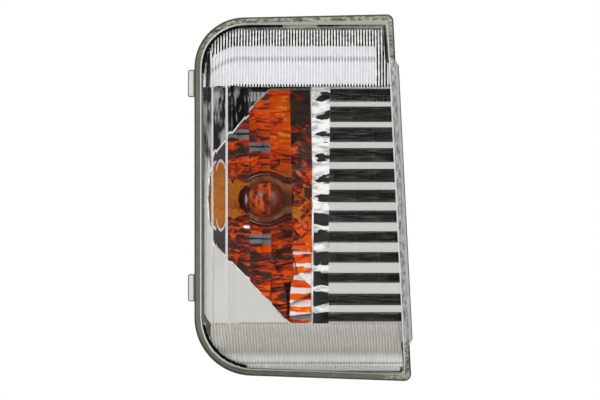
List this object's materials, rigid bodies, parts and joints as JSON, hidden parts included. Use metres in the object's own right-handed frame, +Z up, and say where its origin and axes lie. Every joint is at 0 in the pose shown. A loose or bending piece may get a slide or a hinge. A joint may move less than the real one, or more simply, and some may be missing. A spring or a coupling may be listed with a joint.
{
  "type": "vehicle indicator lamp",
  "caption": "Clear-lens indicator lamp for a door mirror: fluted lens, chromed louvred reflector, amber bulb and twist-lock holder in a grey housing.",
  "frame": {"origin": "on the bulb's axis, in the plane of the seat behind the rim", "axes": "+X to the right as seen from the front, +Y out of the back of the lamp, +Z up along the lamp's length"},
  "size_m": [0.0983, 0.0654, 0.1603],
  "materials": {
    "lens_clear": "clear gloss moulding",
    "housing_grey": "fine satin moulding",
    "sealant": "satin",
    "reflector_metallised": "vacuum metallised mirror",
    "screw_steel": "zinc plated",
    "rubber_black": "matte",
    "bulb_amber": "amber coated glass",
    "filament_tungsten": "drawn wire",
    "lead_wire": "drawn wire",
    "holder_black": "satin moulding",
    "contact_brass": "stamped strip"
  },
  "bodies": {
    "lamp_body": {"outer_lens": "lens_clear", "rear_housing": "housing_grey", "sealing_bead": "sealant", "reflector": "reflector_metallised", "reflector_screws": "screw_steel", "vent_cap": "rubber_black"},
    "bulb_unit": {"bulb_holder": "holder_black", "holder_contact_left": "contact_brass", "holder_contact_right": "contact_brass", "holder_seal": "rubber_black", "bulb_glass": "bulb_amber", "bulb_filament": "filament_tungsten", "bulb_lead_wires": "lead_wire"}
  },
  "joints": [
    {"name": "bulb_holder_twist", "type": "hinge", "parent": "lamp_body", "child": "bulb_unit", "pos_m": [0, 0.0229, 0], "axis": [0, 1, 0], "range_deg": [0, 45]}
  ]
}
